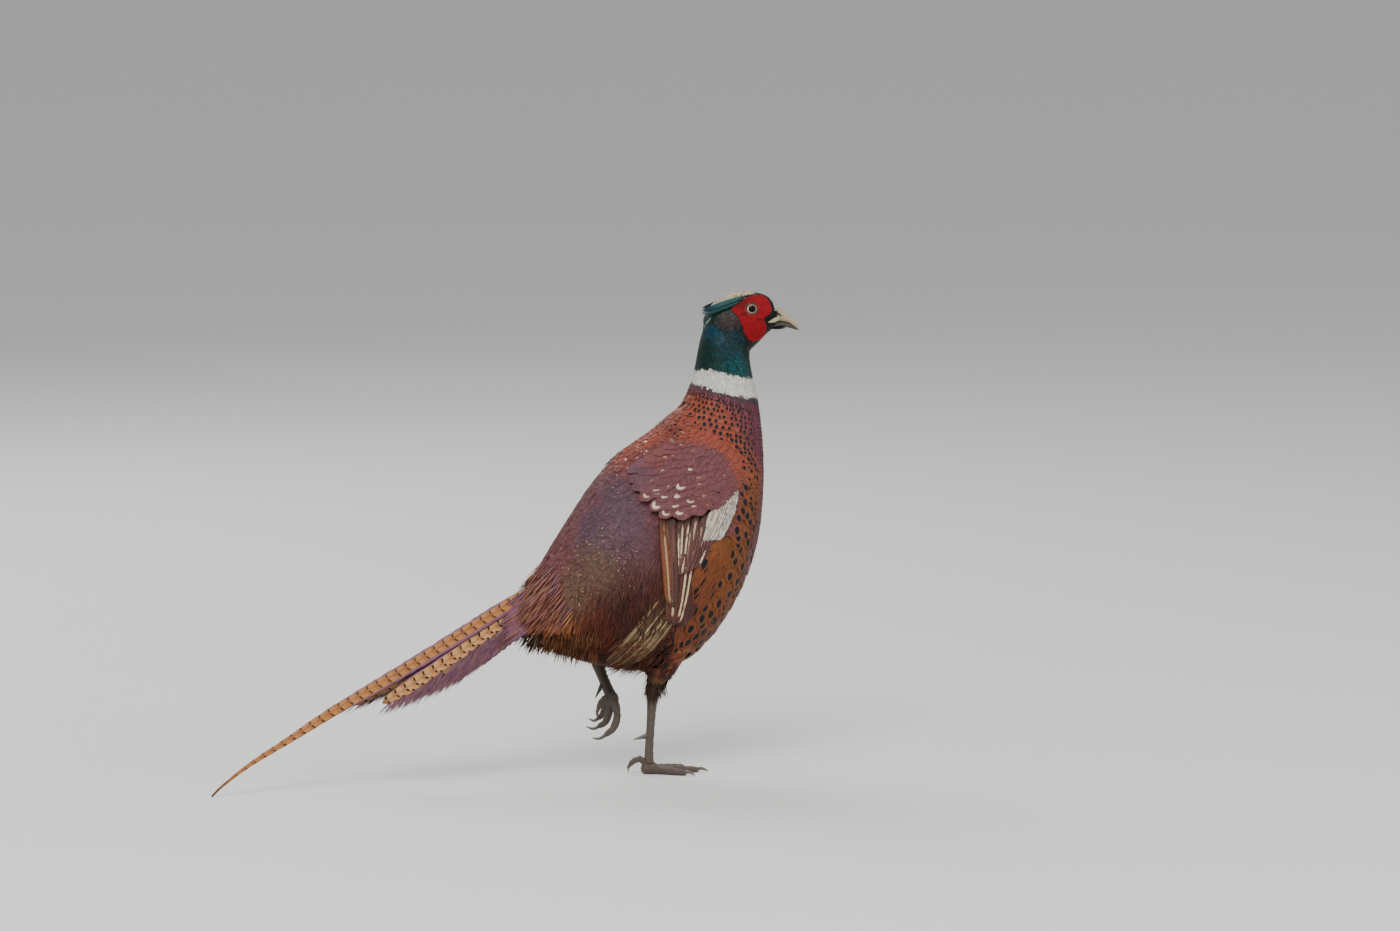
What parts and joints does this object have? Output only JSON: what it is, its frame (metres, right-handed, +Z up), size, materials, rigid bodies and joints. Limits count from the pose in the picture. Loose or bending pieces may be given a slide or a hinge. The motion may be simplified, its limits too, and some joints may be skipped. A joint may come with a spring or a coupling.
{
  "type": "common pheasant",
  "caption": "Life-size still model of a walking cock common pheasant with a green neck, red face, white collar, folded wings and a long barred tail.",
  "frame": {"origin": "on the floor under the pad of the standing right foot", "axes": "+X the way the bird heads, +Y the bird's left, +Z up"},
  "size_m": [0.575, 0.1343, 0.4585],
  "materials": {
    "plumage_copper": "short copper body feathers",
    "plumage_green": "glossy green neck feathers",
    "horn": "pale horn",
    "eye": "wet eye",
    "wattle_skin": "red granular bare skin",
    "plumage_wing": "maroon and cream wing feathers",
    "plumage_tail": "barred tail feathers",
    "claw_horn": "dark horn",
    "scaly_skin": "scaly grey-brown skin",
    "plumage_thigh": "dark brown thigh feathers"
  },
  "bodies": {
    "root": {"torso": "plumage_copper", "neck": "plumage_green", "head": "plumage_green", "bill_upper": "horn", "bill_lower": "horn", "eye_right": "eye", "eye_left": "eye", "wattle_right": "wattle_skin", "wattle_left": "wattle_skin", "ear_tuft_right": "plumage_green", "ear_tuft_left": "plumage_green", "wing_right": "plumage_wing", "wing_left": "plumage_wing", "tail": "plumage_tail", "claw_left_1": "claw_horn", "claw_left_2": "claw_horn", "claw_left_3": "claw_horn", "claw_left_4": "claw_horn", "claw_right_1": "claw_horn", "claw_right_2": "claw_horn", "claw_right_3": "claw_horn", "claw_right_4": "claw_horn", "foot_left": "scaly_skin", "foot_right": "scaly_skin", "shank_left": "scaly_skin", "shank_right": "scaly_skin", "spur_left": "claw_horn", "spur_right": "claw_horn", "thigh_left": "plumage_thigh", "thigh_right": "plumage_thigh"}
  },
  "joints": []
}
